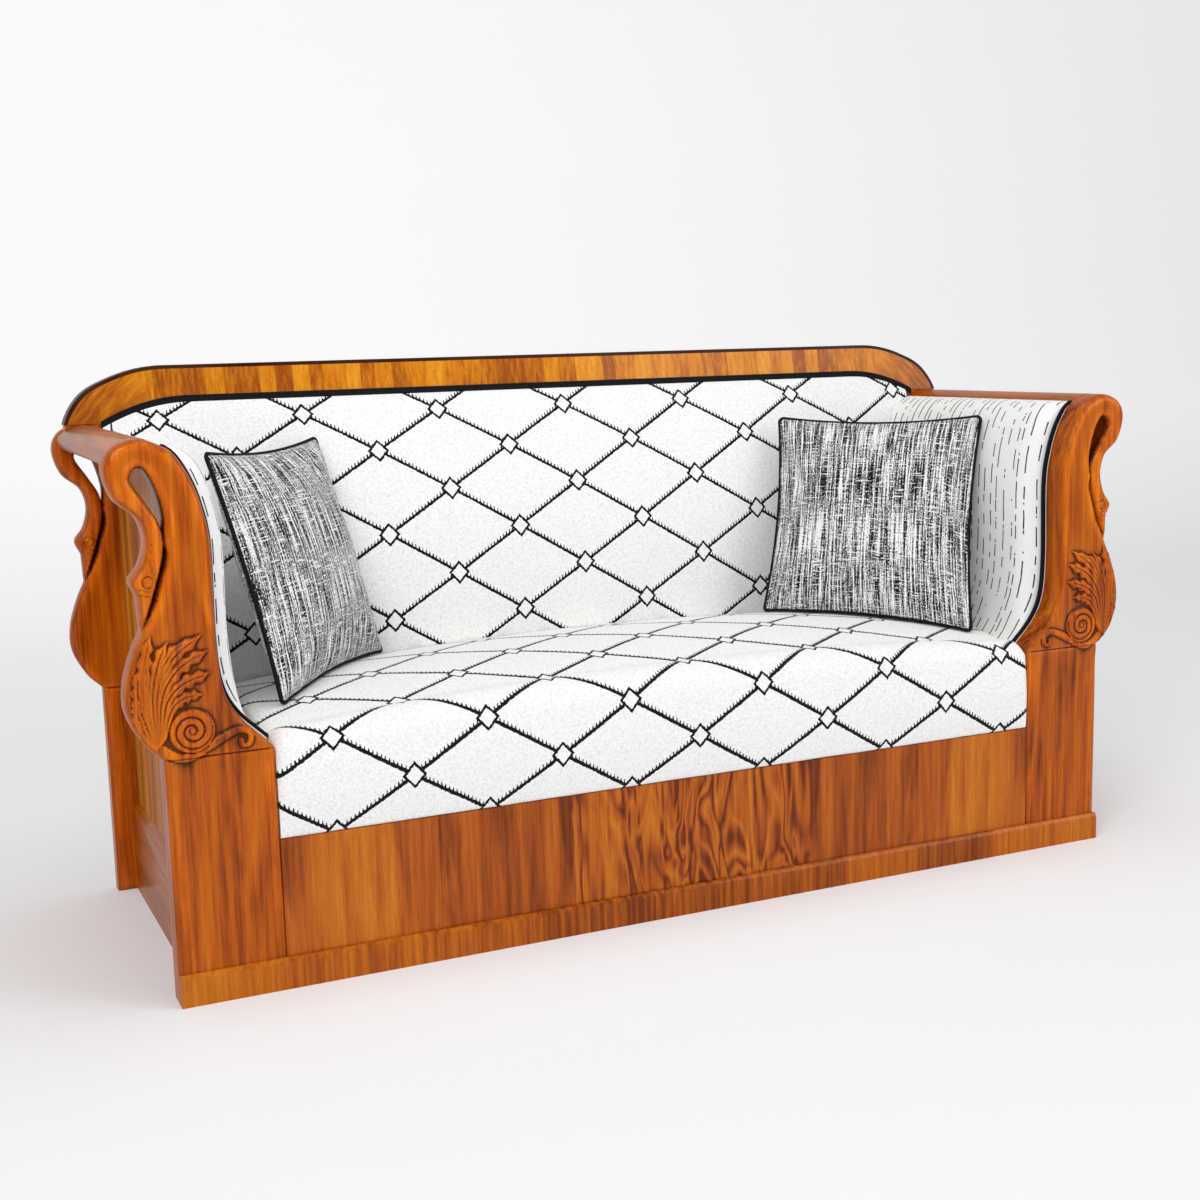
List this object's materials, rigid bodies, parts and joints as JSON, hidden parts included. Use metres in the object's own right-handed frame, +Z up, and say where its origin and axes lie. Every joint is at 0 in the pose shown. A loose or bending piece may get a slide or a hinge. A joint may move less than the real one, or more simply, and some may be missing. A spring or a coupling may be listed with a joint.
{
  "type": "sofa",
  "caption": "Biedermeier sofa in walnut veneer with pierced swan-neck arms, sprung seat, padded back and loose corner cushions",
  "frame": {"origin": "on the floor under the middle of the sofa's bounding box", "axes": "X runs across the sofa to its right-hand end as seen from the front, Y runs from the front to the back, Z is up"},
  "size_m": [2.0248, 0.696, 1.034],
  "materials": {
    "walnut_veneer": "french polished gloss",
    "dark_walnut": "dark polish",
    "frame_wood": "unpolished softwood",
    "lattice_cloth": "warm white boucle with a black lattice",
    "striped_cloth": "off-white cloth with broken black stripes",
    "tweed_cloth": "black and white tweed",
    "black_braid": "black braid",
    "lining_cloth": "plain woven lining",
    "jute": "woven jute",
    "horsehair": "stitched horsehair",
    "feather_filling": "feather in cotton",
    "spring_steel": "coppered wire"
  },
  "bodies": {
    "sofa": {"arm_cover_left": "striped_cloth", "arm_cover_right": "striped_cloth", "arm_gimp_left": "black_braid", "arm_gimp_right": "black_braid", "arm_rail_left": "walnut_veneer", "arm_rail_right": "walnut_veneer", "arm_stuffing_left": "horsehair", "arm_stuffing_right": "horsehair", "back_cover": "lattice_cloth", "back_gimp": "black_braid", "back_lower_rail_left": "frame_wood", "back_lower_rail_middle": "frame_wood", "back_lower_rail_right": "frame_wood", "back_seat_rail": "frame_wood", "back_stile_left": "frame_wood", "back_stile_right": "frame_wood", "back_stuffing": "horsehair", "back_upright_left": "frame_wood", "back_upright_right": "frame_wood", "back_webbing": "jute", "corner_blocks": "frame_wood", "crest_bead": "dark_walnut", "crest_rail": "walnut_veneer", "front_apron": "walnut_veneer", "front_seat_rail": "frame_wood", "front_swan_left": "walnut_veneer", "front_swan_right": "walnut_veneer", "outside_back_cover": "lining_cloth", "plinth": "walnut_veneer", "rear_base_rail": "dark_walnut", "rear_swan_left": "walnut_veneer", "rear_swan_right": "walnut_veneer", "seat_cover": "lattice_cloth", "seat_hessian": "jute", "seat_springs": "spring_steel", "seat_stretchers": "frame_wood", "seat_stuffing": "horsehair", "seat_webbing": "jute", "side_foot_rail_left": "walnut_veneer", "side_foot_rail_right": "walnut_veneer", "side_moulding_left": "walnut_veneer", "side_moulding_right": "walnut_veneer", "side_panel_left": "walnut_veneer", "side_panel_right": "walnut_veneer", "side_seat_rail_left": "frame_wood", "side_seat_rail_right": "frame_wood"},
    "cushion_left": {"cushion_cover_left": "tweed_cloth", "cushion_filling_left": "feather_filling", "cushion_piping_left": "black_braid"},
    "cushion_right": {"cushion_cover_right": "tweed_cloth", "cushion_filling_right": "feather_filling", "cushion_piping_right": "black_braid"}
  },
  "joints": [
    {"name": "cushion_left_lift", "type": "slide", "parent": "sofa", "child": "cushion_left", "axis": [0, 0, 1], "range_m": [0, 0.5]},
    {"name": "cushion_right_lift", "type": "slide", "parent": "sofa", "child": "cushion_right", "axis": [0, 0, 1], "range_m": [0, 0.5]}
  ]
}
